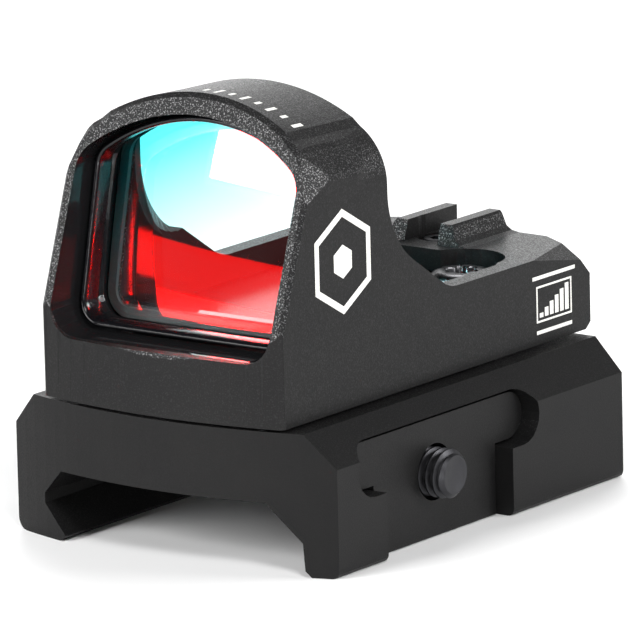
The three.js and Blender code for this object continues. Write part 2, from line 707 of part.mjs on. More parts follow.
// A low bowed leaf under the battery's middle, in (x, z).
function baseContact() {
  const { x, y } = BATTERY;
  const half = [[0.4, 6.86], [2, 6.6], [2, 6.45]];
  const outline = [...half.map(([dx, z]) => [x + dx, z]), ...half.reverse().map(([dx, z]) => [x - dx, z])];
  return prismY(outline, y - 1, y + 1);
}

function circuitBoard() {
  const board = box([-9.5, 9.5], [4.4, 18.6], [7.1, 7.9]);
  const holes = [1, -1].map((side) => rodZ(2.7, side * FASTENER.x, FASTENER.y, 0, 20));
  const tab = box([6.5, 8.2], [1.6, 4.5], [7.1, 7.9]);
  const notches = COVER_SCREWS.slice(2).map(([x, y]) => rodZ(1.7, x, y, 0, 20, 24));
  return cut(board.add(tab), ...holes, ...notches);
}

function emitterCarriage() {
  const arm = box([-2.2, 2.2], [5.2, 18.1], [8.75, 9.45]);
  const block = box([-2.2, 2.2], [11.0, 18.1], [8.75, 10.8]);
  const notch = box([-3, -1.2], [5, 6.75], [8, 9.6]);
  return cut(arm.add(block), notch, rodZ(ELEVATION.radius + 0.15, 0, ELEVATION.y, 0, 20, 28));
}

function emitterSlider() {
  const outline = [[5.3, 9.6], [10.4, 9.6], [10.4, 11.9], [9.4, 12.5], [6.0, 12.5], [5.3, 11.9]];
  const block = prismX(outline, -1.9, 1.9);
  const foot = box([-1.9, -1.45], [5.3, 6.5], [8.8, 9.7]); // pushed by the tip of the windage screw
  return cut(block.add(foot), rodY(1.25, 0, 11.3, 4, 6.9, 24), rodY(0.85, 0, 11.3, 4, 8.6, 24));
}

// ---------------------------------------------------------------- small screws

// A screw along +Z with its head's top at height 0 and a six-point socket.
function screw({ shank, head, headHeight, length, socket }) {
  const profile = [[0, -length], [shank - 0.15, -length], [shank, -length + 0.2], [shank, -headHeight]];
  profile.push([head, -headHeight], [head, -0.3], [head - 0.3, 0], [0, 0]);
  return cut(solid(turned(profile, 24)), solid(rod(socket, -headHeight * 0.55, 1, 6)));
}

function locatingPin() {
  const { radius, low, high } = PINS;
  const length = high - low;
  const end = radius - 0.25;
  const profile = [[0, 0], [end, 0], [radius, 0.25], [radius, length - 0.25], [end, length], [0, length]];
  return solid(turned(profile, 24));
}

function pushButton() {
  const { radius, flange, nub } = BUTTON;
  const profile = [[0, -2.23], [nub, -2.23], [nub, -1.85], [flange, -1.85], [flange, -1.3], [radius, -1.3]];
  profile.push([radius, 0.05], [radius - 0.25, 0.3], [0, 0.3]);
  return solid(turned(profile, 28));
}

// ---------------------------------------------------------------- assembly

const FINISH = {
  anodised: { color: 0x17171a, roughness: 0.5, metalness: 0.6 },
  blackSteel: { color: 0x3a3c40, roughness: 0.35, metalness: 0.9 },
  steel: { color: 0x9a9ca0, roughness: 0.3, metalness: 1.0 },
  brass: { color: 0xb08d4a, roughness: 0.35, metalness: 1.0 },
  glossBlack: { color: 0x0b0b0d, roughness: 0.15, metalness: 0.2 },
  rubber: { color: 0x141414, roughness: 0.85, metalness: 0.0 },
  board: { color: 0x1d4d33, roughness: 0.6, metalness: 0.1 },
  glassFront: { color: 0x8fd6dc, roughness: 0.05, metalness: 0.0 },
  glassRear: { color: 0xc05048, roughness: 0.05, metalness: 0.0 },
};

const assembly = new THREE.Group();

function place(name, piece, finish, position = [0, 0, 0], rotation = [0, 0, 0]) {
  const mesh = piece.simplify(FINEST).getMesh();
  const geometry = new THREE.BufferGeometry();
  geometry.setAttribute('position', new THREE.Float32BufferAttribute(mesh.vertProperties, 3));
  geometry.setIndex(Array.from(mesh.triVerts));
  const node = new THREE.Mesh(geometry, new THREE.MeshStandardMaterial(FINISH[finish]));
  node.name = name;
  node.position.set(...position);
  node.rotation.set(...rotation);
  assembly.add(node);
}

const TO_MINUS_X = [0, -Math.PI / 2, 0]; // turns a piece made along +Z so that its top faces -X

place('rail_mount', railMount(), 'anodised');
place('clamp_plate', clampPlate(), 'anodised');
place('clamp_screw', clampScrew(), 'blackSteel');
place('clamp_screw_clip', clampClip(), 'steel');

place('sight_body', sightBody(), 'anodised');
place('lens_bezel', lensBezel(), 'glossBlack');
place('lens_front_element', glass(-LENS.edge, 0, LENS.front), 'glassFront');
place('lens_rear_element', glass(-LENS.edge, LENS.front + 0.05, LENS.front + LENS.rear), 'glassRear');
place('lens_gasket', closedRing([[-0.2, 2.95], [-1.0, 2.95], [-1.0, 3.35], [-0.2, 3.35]]), 'rubber');

place('bottom_cover', bottomCover(), 'anodised');
place('cover_gasket', coverGasket(), 'rubber');
const coverScrew = screw({ shank: 0.6, head: 0.62, headHeight: 0.3, length: 2.2, socket: 0.4 });
COVER_SCREWS.forEach(([x, y], i) => {
  place(`cover_screw_${i + 1}`, coverScrew, 'steel', [x, y, 6.0], [Math.PI, 0, 0]);
});

const mountingScrew = screw({ shank: 1.5, head: 2.64, headHeight: 1.65, length: 10.8, socket: 1.4 });
for (const [side, name] of [[1, 'left'], [-1, 'right']]) {
  const screwAt = [side * FASTENER.x, FASTENER.y, FASTENER.headTop];
  place(`mounting_screw_${name}`, mountingScrew, 'blackSteel', screwAt);
  place(`locating_pin_${name}`, locatingPin(), 'steel', [side * PINS.x, PINS.y, PINS.low]);
}

place('battery_drawer', batteryDrawer(), 'anodised');
place('battery_drawer_seal', drawerSeal(), 'rubber');
place('battery', battery(), 'steel');
const drawerScrew = screw({ shank: 1, head: 1.6, headHeight: 0.55, length: 4.9, socket: 0.85 });
const drawerScrewAt = [-SIGHT.halfWidth + 0.02, DRAWER_SCREW.y, DRAWER_SCREW.z];
place('battery_drawer_screw', drawerScrew, 'steel', drawerScrewAt, TO_MINUS_X);
place('battery_side_contact', sideContact(), 'brass');
place('battery_base_contact', baseContact(), 'brass');

place('circuit_board', circuitBoard(), 'board');
place('control_chip', box([-2.4, 2.4], [5.6, 10.2], [7.92, 8.35]), 'glossBlack');
place('emitter_return_spring', returnSpring(), 'steel');
['up', 'down'].forEach((name, i) => {
  const y = BUTTON.y[i];
  place(`brightness_switch_${name}`, box([-9.2, -8.7], [y - 1.2, y + 1.2], [7.95, 9.5]), 'steel');
  place(`brightness_button_${name}`, pushButton(), 'rubber', [-SIGHT.halfWidth, y, BUTTON.z], TO_MINUS_X);
});

place('emitter_carriage', emitterCarriage(), 'glossBlack');
place('emitter_slider', emitterSlider(), 'glossBlack');
const led = solid(turned([[0, 0], [0.7, 0], [0.7, 1.1], [0.45, 1.45], [0, 1.55]], 20));
place('emitter_led', led, 'brass', [0, 8.5, 11.3], [Math.PI / 2, 0, 0]);
const pane = solid(turned([[0, 0], [1.1, 0], [1.1, 0.4], [0, 0.4]], 24));
place('emitter_window', pane, 'glassFront', [0, 6.0, 11.3], [Math.PI / 2, 0, 0]);
const elevationScrew = screw({ shank: 1.0, head: 1.5, headHeight: 0.85, length: 4.2, socket: 0.75 });
place('elevation_screw', elevationScrew, 'blackSteel', [0, ELEVATION.y, SIGHT.deck - 0.05]);
const windageScrew = screw({ shank: 0.8, head: 1.5, headHeight: 0.85, length: 9.5, socket: 0.75 });
const windageAt = [-SIGHT.halfWidth + 0.05, WINDAGE.y, WINDAGE.z];
place('windage_screw', windageScrew, 'blackSteel', windageAt, TO_MINUS_X);

export default assembly;
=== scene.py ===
"""Looks, studio and camera for a micro red dot sight on a low rail mount.

Metres, +Z up, front (the target side) towards -Y, origin at the centre of the rail seat.
"""

import json
import math
from collections import namedtuple

import bmesh
import bpy
from mathutils import Matrix, Vector
from mathutils.bvhtree import BVHTree
from mathutils.geometry import convex_hull_2d


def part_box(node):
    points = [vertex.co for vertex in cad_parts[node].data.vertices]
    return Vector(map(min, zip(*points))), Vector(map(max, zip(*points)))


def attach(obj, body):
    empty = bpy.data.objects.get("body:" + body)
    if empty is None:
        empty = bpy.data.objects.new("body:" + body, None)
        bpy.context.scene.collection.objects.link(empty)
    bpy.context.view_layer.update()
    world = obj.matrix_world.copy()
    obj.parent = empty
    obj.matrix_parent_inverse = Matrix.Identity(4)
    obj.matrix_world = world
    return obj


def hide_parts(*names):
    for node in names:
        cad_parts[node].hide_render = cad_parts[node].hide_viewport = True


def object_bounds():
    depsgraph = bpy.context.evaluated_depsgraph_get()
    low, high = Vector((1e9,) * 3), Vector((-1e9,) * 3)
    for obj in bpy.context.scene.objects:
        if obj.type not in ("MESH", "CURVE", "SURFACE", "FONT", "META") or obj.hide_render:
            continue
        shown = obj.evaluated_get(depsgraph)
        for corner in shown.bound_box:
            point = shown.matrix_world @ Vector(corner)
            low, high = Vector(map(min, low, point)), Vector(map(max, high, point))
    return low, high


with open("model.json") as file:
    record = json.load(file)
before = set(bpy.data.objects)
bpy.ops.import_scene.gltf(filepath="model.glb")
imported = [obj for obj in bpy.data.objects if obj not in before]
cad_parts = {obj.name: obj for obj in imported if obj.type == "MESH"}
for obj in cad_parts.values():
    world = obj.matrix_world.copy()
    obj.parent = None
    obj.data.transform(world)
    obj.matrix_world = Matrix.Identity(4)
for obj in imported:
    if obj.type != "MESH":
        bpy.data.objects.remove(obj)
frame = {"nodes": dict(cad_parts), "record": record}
cad_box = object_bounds()
MM = 0.001

# ---------------------------------------------------------------- places taken from the frame

body_low, body_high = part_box("sight_body")
bolt_low, bolt_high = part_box("clamp_screw")
lens_low, lens_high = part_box("lens_front_element")
plate_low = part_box("clamp_plate")[0]
BOLT_Y = (bolt_low.y + bolt_high.y) / 2
BOLT_Z = (bolt_low.z + bolt_high.z) / 2
SIDE_X = body_high.x

# The tunnel runs through the hood and holds the lens. The sunken floor lies behind it.
TUNNEL = {
    "axis_z": (lens_low.z + lens_high.z) / 2,
    "front": body_low.y + 1.4 * MM,
    "rear": lens_high.y + 0.5 * MM,
    "floor_top": 11.2 * MM,  # the sunken floor lies just below this height
    "floor_rear": 12.6 * MM,
    "hood_rear": -6.5 * MM,
}


# ---------------------------------------------------------------- node trees

MIX_COLOURS = (6, 7)  # numbers of a Mix node's colour sockets, which share their names with other types
MIX_RESULT = 2


class NodeTree:
    """Shader nodes, added by naming their kind, sockets and settings."""

    def __init__(self, tree, coordinates):
        self.tree = tree
        self.place = self.add("TexCoord").outputs[coordinates]

    def add(self, kind, sockets=None, **settings):
        node = self.tree.nodes.new("ShaderNode" + kind)
        for key, value in settings.items():
            setattr(node, key, value)
        for key, value in (sockets or {}).items():
            self.feed(node.inputs[key], value)
        return node

    def feed(self, socket, value):
        """Links a socket to another node, or sets it to a plain value."""
        if isinstance(value, bpy.types.NodeSocket):
            self.tree.links.new(value, socket)
        else:
            socket.default_value = value

    def noise(self, size, detail=2.0, roughness=0.5):
        """Noise whose features are about size metres across."""
        sockets = {"Vector": self.place, "Scale": 1 / size, "Detail": detail, "Roughness": roughness}
        return self.add("TexNoise", sockets).outputs["Fac"]

    def remap(self, value, low, high, new_low=0.0, new_high=1.0):
        sockets = {"Value": value, "From Min": low, "From Max": high, "To Min": new_low, "To Max": new_high}
        return self.add("MapRange", sockets).outputs["Result"]

    def math(self, operation, first, second=0.0):
        return self.add("Math", {0: first, 1: second}, operation=operation).outputs[0]

    def product(self, value, *others):
        for other in others:
            value = self.math("MULTIPLY", value, other)
        return value

    def blend(self, factor, *colours):
        """The first colour where factor is 0 and the second where it is 1."""
        node = self.add("Mix", {"Factor": factor}, data_type="RGBA")
        for index, colour in zip(MIX_COLOURS, colours):
            plain = isinstance(colour, tuple)
            self.feed(node.inputs[index], (*colour, 1.0) if plain else colour)
        return node.outputs[MIX_RESULT]

    def axis(self, name):
        return self.add("SeparateXYZ", {"Vector": self.place}).outputs[name]


class Shader(NodeTree):
    """A material's node tree."""

    def __init__(self, name):
        self.material = bpy.data.materials.new(name)
        self.material.use_nodes = True
        self.material.node_tree.nodes.clear()
        super().__init__(self.material.node_tree, "Object")

    def facing(self, name):
        """One component of the direction that the surface faces."""
        return self.add("SeparateXYZ", {"Vector": self.add("NewGeometry").outputs["Normal"]}).outputs[name]

    def bump(self, height, distance, strength=1.0):
        sockets = {"Height": height, "Distance": distance, "Strength": strength}
        return self.add("Bump", sockets).outputs["Normal"]

    def surface(self, **sockets):
        """Ends the tree in a Principled shader and returns the material."""
        named = {key.replace("_", " "): value for key, value in sockets.items()}
        return self.output(self.add("BsdfPrincipled", named))

    def output(self, shader):
        """Ends the tree in the given shader and returns the material."""
        self.add("OutputMaterial", {"Surface": shader.outputs[0]})
        return self.material


# ---------------------------------------------------------------- anodised aluminium

BLAST_GRAIN = 0.12 * MM
BLAST_RELIEF = 0.012 * MM
DYE_THIN = (0.85, 0.85, 0.9)  # shares of a finish's tone
DYE_THICK = (1.2, 1.17, 1.15)
# painted glints: the pale colour of specks that stand in for sparkle
PAINTED_GLINT_TONE = (0.5, 0.5, 0.51)
BORED_DYE = (0.012, 0.012, 0.013)
# painted shade: the darker colour of the hood's inside
HOOD_PAINTED_SHADE = (0.004, 0.004, 0.004)


def anodised(name, tone=0.0085, roughness=0.4, painted_glint=0.38, inside=False):
    """Blasted and black anodised aluminium: fine grain, painted glints and slightly uneven dye.

    Faces that lean back get more painted glints, pale specks in the colour, than upright or level ones. With
    inside true, the walls of the tunnel in front of the lens and the floor behind it are glossy, as milled
    bores are, and the hood's inside is dull and darker with painted shade.
    """
    s = Shader(name)
    cloud = s.noise(4 * MM, 3.0)
    coarse = s.noise(BLAST_GRAIN, 1.0, 0.6)
    fine = s.noise(BLAST_GRAIN * 0.6, 1.0, 0.5)
    upward = s.facing("Z")
    leaning = s.product(s.remap(upward, 0.12, 0.34, 0.05, 1.0), s.remap(upward, 0.45, 0.65, 1.0, 0.3))
    dye = s.blend(cloud, tuple(tone * c for c in DYE_THIN), tuple(tone * c for c in DYE_THICK))
    # painted glints: pale specks in the colour, more on faces that lean back
    colour = s.blend(s.product(s.remap(coarse, 0.55, 0.69), leaning, painted_glint), dye, PAINTED_GLINT_TONE)
    spread = s.product(s.remap(coarse, 0.34, 0.66, 0.2, -0.2), s.remap(leaning, 0.0, 1.0, 0.35, 1.0))
    rough = s.math("ADD", spread, s.remap(fine, 0.3, 0.7, roughness - 0.04, roughness + 0.06))
    strength, metal = 1.0, 0.0
    if inside:
        wall, floor, hood = tunnel_shares(s)
        bored = s.math("MAXIMUM", wall, floor)
        # painted shade: the hood's inside is made darker
        colour = s.blend(hood, s.blend(bored, colour, BORED_DYE), HOOD_PAINTED_SHADE)
        metal = s.product(wall, 0.15)
        rough = s.product(rough, s.remap(wall, 0.0, 1.0, 1.0, 0.1), s.remap(floor, 0.0, 1.0, 1.0, 0.7))
        rough = s.math("MAXIMUM", rough, s.product(hood, 0.95))
        strength = s.remap(bored, 0.0, 1.0, 1.0, 0.04)
    relief_map = s.math("ADD", s.product(coarse, 0.7), s.product(fine, 0.5))
    normal = s.bump(relief_map, BLAST_RELIEF, strength)
    return s.surface(
        Base_Color=colour, Metallic=metal, Roughness=rough, Normal=normal, Specular_IOR_Level=0.14,
    )


def tunnel_shares(s):
    """Three shares, each 1 in its place: walls in front of the lens, sunken floor, hood's inside."""
    rise = s.math("SUBTRACT", TUNNEL["axis_z"], s.axis("Z"))
    inward = s.product(s.facing("Z"), rise)
    sideways = s.product(s.facing("X"), s.axis("X"))
    toward_axis = s.remap(s.math("SUBTRACT", inward, sideways), 0.0, 1 * MM)
    behind_rim = s.remap(s.axis("Y"), TUNNEL["front"], TUNNEL["front"] + 0.1 * MM)
    before_rear = s.remap(s.axis("Y"), TUNNEL["rear"], TUNNEL["rear"] - 0.2 * MM)
    along = s.remap(s.math("ABSOLUTE", s.facing("Y")), 0.75, 0.6)
    wall = s.product(toward_axis, s.product(behind_rim, before_rear, along))
    past_lens = s.math("SUBTRACT", 1.0, before_rear)
    sunken = s.remap(s.axis("Z"), TUNNEL["floor_top"], TUNNEL["floor_top"] - 0.1 * MM)
    before_step = s.remap(s.axis("Y"), TUNNEL["floor_rear"], TUNNEL["floor_rear"] - 0.2 * MM)
    floor = s.product(sunken, before_step, past_lens, s.remap(s.facing("Z"), 0.8, 0.95))
    above = s.remap(s.axis("Z"), TUNNEL["floor_top"], TUNNEL["floor_top"] + 0.3 * MM)
    under_hood = s.remap(s.axis("Y"), TUNNEL["hood_rear"], TUNNEL["hood_rear"] - 0.1 * MM)
    hood = s.product(toward_axis, past_lens, above, under_hood)
    return wall, floor, hood


# ---------------------------------------------------------------- other materials


def shaded(tone, share):
    """A colour made lighter or darker."""
    return tuple(min(1.0, c * share) for c in tone)


def steel(name, tone, roughness):
    """Machined metal with a fine grit and small stains."""
    s = Shader(name)
    stain = s.noise(0.9 * MM, 4.0, 0.6)
    grit = s.noise(0.08 * MM, 2.0)
    colour = s.blend(stain, shaded(tone, 0.72), shaded(tone, 1.15))
    rough = s.remap(stain, 0.3, 0.7, roughness - 0.06, roughness + 0.1)
    return s.surface(Base_Color=colour, Metallic=1.0, Roughness=rough, Normal=s.bump(grit, 0.004 * MM))


def moulded(name, tone, roughness, grain=0.12 * MM, relief=0.006 * MM, shine=0.5):
    """Moulded plastic, rubber or solder mask: a fine grain and a little wear."""
    s = Shader(name)
    wear = s.noise(1.6 * MM, 3.0)
    fine = s.noise(grain, 2.0)
    colour = s.blend(wear, shaded(tone, 0.8), shaded(tone, 1.2))
    rough = s.remap(fine, 0.3, 0.7, roughness - 0.06, roughness + 0.08)
    normal = s.bump(fine, relief)
    return s.surface(Base_Color=colour, Roughness=rough, Normal=normal, Specular_IOR_Level=shine)


def print_ink(name):
    """White laser print: slightly uneven where the grain of the metal shows through."""
    s = Shader(name)
    grain = s.noise(0.09 * MM, 1.0)
    colour = s.blend(s.remap(grain, 0.45, 0.75), (0.82, 0.81, 0.77), (0.6, 0.59, 0.56))
    return s.surface(Base_Color=colour, Roughness=0.6, Normal=s.bump(grain, 0.004 * MM))


def coated_glass(name):
    """A coating that mirrors red and passes the other colours. It passes more red low down and towards +X."""
    s = Shader(name)
    smear = s.noise(5 * MM, 3.0)
    across = s.math("SUBTRACT", s.product(s.axis("X"), 0.5), s.axis("Z"))
    shift = s.remap(across, -27.5 * MM, -18 * MM, 0.0, 0.9)
    thin = s.blend(smear, (0.1, 0.91, 0.96), (0.12, 0.9, 0.95))
    clear = s.add("BsdfTransparent", {"Color": s.blend(shift, thin, (0.9, 1.0, 1.0))})
    red = s.blend(smear, (0.97, 0.002, 0.001), (0.93, 0.003, 0.002))
    mirror = s.add("BsdfGlossy", {"Color": red, "Roughness": 0.0})
    return s.output(s.add("AddShader", {0: clear.outputs[0], 1: mirror.outputs[0]}))


def outer_glass(name, shine):
    """The polished outside of the lens: it bends what is behind it and has a faint reflection."""
    s = Shader(name)
    dust = s.noise(0.5 * MM, 2.0)
    tint = s.blend(dust, (0.985, 0.995, 0.995), (0.97, 0.985, 0.985))
    bent = s.add("BsdfRefraction", {"Color": tint, "Roughness": 0.0, "IOR": 1.52})
    straight = s.add("BsdfTransparent", {"Color": tint})
    lamps = s.add("LightPath").outputs["Is Shadow Ray"]
    clear = s.add("MixShader", {0: lamps, 1: bent.outputs[0], 2: straight.outputs[0]})
    mirror = s.add("BsdfGlossy", {"Color": (shine, shine * 1.1, shine * 1.35, 1), "Roughness": 0.0})
    return s.output(s.add("AddShader", {0: clear.outputs[0], 1: mirror.outputs[0]}))


def inner_glass(name):
    """The faces between the two elements and round their edges."""
    s = Shader(name)
    haze = s.noise(0.8 * MM, 2.0)
    tint = s.blend(haze, (0.995, 1.0, 1.0), (0.985, 0.99, 0.99))
    return s.output(s.add("BsdfTransparent", {"Color": tint}))


MATERIALS = {
    "housing_aluminium": anodised("anodised_housing"),
    # the mount gets only a few painted glints
    "mount_aluminium": anodised("anodised_mount", tone=0.008, roughness=0.43, painted_glint=0.07),
    "black_steel": steel("phosphated_steel", (0.05, 0.05, 0.054), 0.42),
    "screw_steel": steel("satin_steel", (0.1, 0.1, 0.105), 0.28),
    "bezel_black": moulded(
        "bezel_black", (0.004, 0.004, 0.005), 0.14, grain=0.3 * MM, relief=0.001 * MM, shine=0.3,
    ),
    "lens_coated": coated_glass("coated_glass"),
    "seal_rubber": moulded("seal_rubber", (0.02, 0.02, 0.02), 0.7),
    "button_rubber": moulded("button_rubber", (0.03, 0.03, 0.032), 0.6),
    "cell_steel": steel("cell_nickel", (0.7, 0.7, 0.7), 0.22),
    "contact_brass": steel("contact_brass", (0.75, 0.55, 0.25), 0.25),
    "board_green": moulded("board_green", (0.03, 0.16, 0.08), 0.35),
    "part_black": moulded("part_black", (0.02, 0.02, 0.022), 0.4),
}
INK = print_ink("white_print")
OUTER_GLASS = outer_glass("outer_glass", 0.0035)
REAR_GLASS = outer_glass("rear_glass", 0.0015)
INNER_GLASS = inner_glass("inner_glass")
HOUSING_FINISH = anodised("anodised_housing_bored", inside=True)

# ---------------------------------------------------------------- CAD nodes: finish and softened edges

EDGE_BREAKS = {
    "sight_body": 0.09 * MM,
    "rail_mount": 0.09 * MM,
    "clamp_plate": 0.12 * MM,
    "battery_drawer": 0.06 * MM,
    "bottom_cover": 0.06 * MM,
    "battery_drawer_screw": 0.05 * MM,
    "elevation_screw": 0.05 * MM,
    "windage_screw": 0.05 * MM,
    "brightness_button_up": 0.05 * MM,
    "brightness_button_down": 0.05 * MM,
}
FLAT_ANGLE = math.radians(1.2)
SHARP_ANGLE = math.radians(28)


def finish_node(name, slot_name):
    """Gives a CAD node its material."""
    node = frame["nodes"][name]
    node.data.materials.clear()
    node.data.materials.append(MATERIALS[slot_name])


def soften(node, width):
    """Merges flat facets, rounds the sharp edges by width and shades the curved stretches smoothly."""
    for polygon in node.data.polygons:
        polygon.use_smooth = True
    flat = node.modifiers.new("merge_flats", "DECIMATE")
    flat.decimate_type = "DISSOLVE"
    flat.angle_limit = FLAT_ANGLE
    edge = node.modifiers.new("edge_break", "BEVEL")
    edge.width = width
    edge.segments = 2
    edge.limit_method = "ANGLE"
    edge.angle_limit = SHARP_ANGLE
    edge.use_clamp_overlap = False
    edge.harden_normals = True
    smooth = node.modifiers.new("normals", "WEIGHTED_NORMAL")
    smooth.keep_sharp = True


for part in frame["record"]["subparts"]:
    finish_node(part["node"], part["material_slot"])
frame["nodes"]["sight_body"].data.materials[0] = HOUSING_FINISH

for node_name, break_width in EDGE_BREAKS.items():
    soften(frame["nodes"][node_name], break_width)

# ---------------------------------------------------------------- pieces made here

SAME_VERTEX = 0.0005 * MM


def new_piece(name, mesh, materials, body, replaced=()):
    """Links a mesh as a piece of the object that rides on a body."""
    for material in materials:
        mesh.materials.append(material)
    piece = bpy.data.objects.new(name, mesh)
    bpy.context.scene.collection.objects.link(piece)
    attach(piece, body)
    for node in replaced:
        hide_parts(node)
    return piece


def mesh_of(name, vertices, faces, smooth=True):
    """A mesh with close vertices merged and its faces pointing out."""
    shape = bmesh.new()
    made = [shape.verts.new(v) for v in vertices]
    for face in faces:
        corners = [made[i] for i in dict.fromkeys(face)]
        if len(corners) > 2:
            shape.faces.new(corners)
    bmesh.ops.remove_doubles(shape, verts=shape.verts, dist=SAME_VERTEX)
    bmesh.ops.recalc_face_normals(shape, faces=shape.faces)
    mesh = bpy.data.meshes.new(name)
    shape.to_mesh(mesh)
    shape.free()
    for polygon in mesh.polygons:
        polygon.use_smooth = smooth
    return mesh


def shade_by_angle(piece, degrees):
    """Keeps edges sharper than an angle crisp."""
    mesh = piece.data
    shape = bmesh.new()
    shape.from_mesh(mesh)
    for edge in shape.edges:
        edge.smooth = len(edge.link_faces) == 2 and edge.calc_face_angle(0.0) < math.radians(degrees)
    shape.to_mesh(mesh)
    shape.free()


def ring_faces(first, second, count):
    """Quads between two closed rings of count vertices that start at the given vertex numbers."""
    return [
        (first + i, first + (i + 1) % count, second + (i + 1) % count, second + i)
        for i in range(count)
    ]


# ---------------------------------------------------------------- lens

LENS_BULGE = 0.55 * MM
LENS_RINGS = 24
LENS_STEP = 0.5 * MM
UNCOATED_EDGE = 0.38 * MM

RimPoint = namedtuple("RimPoint", "x z front rear")


def lens_outline(node):
    """The rim of a lens element in short steps, with the y of its front and rear edges."""
    spots = {}
    for vertex in node.data.vertices:
        spots.setdefault((round(vertex.co.x, 6), round(vertex.co.z, 6)), []).append(vertex.co.y)
    keys = list(spots)
    hull = convex_hull_2d([Vector(key) for key in keys])
    corners = [RimPoint(*keys[i], min(spots[keys[i]]), max(spots[keys[i]])) for i in hull]
    rim = []
    for start, end in zip(corners, corners[1:] + corners[:1]):
        steps = math.ceil(math.dist(start[:2], end[:2]) / LENS_STEP)
        for step in range(steps):
            rim.append(RimPoint(*(a + (b - a) * step / steps for a, b in zip(start, end))))
    return rim


def lens_element(name, node_name, front_material, rear_material):
    """A smooth meniscus inside a CAD element's outline, with both faces domed towards the front."""
    rim = lens_outline(frame["nodes"][node_name])
    low = min(rim, key=lambda point: point.z)
    high = max(rim, key=lambda point: point.z)
    half_width = max(point.x for point in rim)
    half_height = (high.z - low.z) / 2
    middle = low.z + half_height
    slope = (high.front - low.front) / (high.z - low.z)
    count = len(rim)
    vertices, faces = [], []
    for foot in (low.front, low.rear):
        start = len(vertices)
        for ring in range(LENS_RINGS + 1):
            share = ring / LENS_RINGS
            for point in rim:
                x, rise = point.x * share, (point.z - middle) * share
                dome = LENS_BULGE * (1 - (x / half_width) ** 2 - (rise / half_height) ** 2)
                vertices.append((x, foot + slope * (half_height + rise) - dome, middle + rise))
        for ring in range(LENS_RINGS):
            faces += ring_faces(start + ring * count, start + (ring + 1) * count, count)
    faces += ring_faces(LENS_RINGS * count, (2 * LENS_RINGS + 1) * count, count)
    mesh = mesh_of(name, vertices, faces)
    materials = (front_material, rear_material, INNER_GLASS)
    piece = new_piece(name, mesh, materials, "housing", [node_name])
    for polygon in mesh.polygons:
        spot = (polygon.center.x, polygon.center.z)
        at_rim = min(math.dist(spot, point[:2]) for point in rim) < UNCOATED_EDGE
        polygon.material_index = 2 if at_rim else int(polygon.normal.y > 0)
    shade_by_angle(piece, 40)


lens_element("lens_front_glass", "lens_front_element", OUTER_GLASS, INNER_GLASS)
lens_element("lens_mirror_glass", "lens_rear_element", MATERIALS["lens_coated"], REAR_GLASS)

# ---------------------------------------------------------------- turned shapes


def hexagon_radius(angle, half_across):
    """Radius of a hexagon at an angle, from half its width across the flats."""
    part = math.radians(60)
    return half_across / math.cos((angle % part) - part / 2)


def lobed_radius(angle, outer, inner):
    """Radius of a six-lobe recess at an angle."""
    fullness = 0.18
    wave = math.cos(6 * angle)
    return (outer + inner) / 2 + (outer - inner) / 2 * wave * (1 + fullness - fullness * wave * wave)


def turned_rings(profile, around):
    """Rings of vertices about +Z. Each profile entry is (radius, height) or (function of angle, height)."""
    rings = []
    for radius, height in profile:
        ring = []
        for i in range(around):
            angle = 2 * math.pi * i / around
            reach = radius(angle) if callable(radius) else radius
            ring.append((reach * math.cos(angle), reach * math.sin(angle), height))
        rings.append(ring)
    return rings


def skin_rings(rings):
    """Vertices and faces over rings of equal count, with both ends closed."""
    count = len(rings[0])
    vertices = [v for ring in rings for v in ring]
    faces = [f for i in range(len(rings) - 1) for f in ring_faces(i * count, (i + 1) * count, count)]
    faces.append(tuple(range(count))[::-1])
    faces.append(tuple(range((len(rings) - 1) * count, len(rings) * count)))
    return vertices, faces


# ---------------------------------------------------------------- cross bolt with its thread

# Depths and lengths run from the head's outer face.
BOLT = {
    "radius": 2.0 * MM,
    "head_length": 2.45 * MM,
    "head_round": ((0.45, 0.0), (0.2, 0.08), (0.05, 0.25), (0.0, 0.5)),  # inset and depth of each ring, mm
    "under_break": 0.1 * MM,
    "fillet": 0.2 * MM,
    "socket_half_across": 1.25 * MM,
    "socket_depth": 1.5 * MM,
    "socket_flare": 0.14 * MM,
    "socket_flare_depth": 0.12 * MM,
    "drill_radius": 0.2 * MM,
    "drill_depth": 0.35 * MM,
    "around": 56,
}
THREAD = {
    "start": plate_low.x + 1.5 * MM,
    "pitch": 0.7 * MM,
    "depth": 0.42 * MM,
    "crest": 0.16,  # shares of the pitch
    "root": 0.14,
    "ease": 0.35,  # how round the flanks are
    "per_turn": 10,
    "tip": 0.45 * MM,  # chamfer at the free end
    "dish": ((1.35, 0.0), (1.2, 0.06)),  # radius and depth of each ring in the free end's face, mm
}


def thread_radius(turns):
    """Radius at a number of turns: a flat crest and a flat root, with flanks that are eased at both ends."""
    crest, root, ease = THREAD["crest"], THREAD["root"], THREAD["ease"]
    away = abs((turns % 1.0) - 0.5) * 2
    fall = min(max((away - crest) / (1 - crest - root), 0.0), 1.0)
    return BOLT["radius"] - THREAD["depth"] * (fall * fall * (3 - 2 * fall) * ease + fall * (1 - ease))


def head_rings():
    """The bolt from the bottom of its socket, over the head, to the start of the shank."""
    start = bolt_low.x
    head = (bolt_high.z - bolt_low.z) / 2
    under = start + BOLT["head_length"]
    socket = start + BOLT["socket_depth"]

    def hexagon(angle):
        return hexagon_radius(angle, BOLT["socket_half_across"])

    def flared(angle):
        return hexagon(angle) + BOLT["socket_flare"]

    profile = [
        (BOLT["drill_radius"], socket + BOLT["drill_depth"]),
        (hexagon, socket),
        (hexagon, start + BOLT["socket_flare_depth"]),
        (flared, start),
    ]
    profile += [(head - inset * MM, start + depth * MM) for inset, depth in BOLT["head_round"]]
    profile += [
        (head, under - BOLT["under_break"]),
        (head - BOLT["under_break"], under),
        (BOLT["radius"] + BOLT["fillet"], under),
        (BOLT["radius"], under + BOLT["fillet"]),
    ]
    return turned_rings(profile, BOLT["around"])


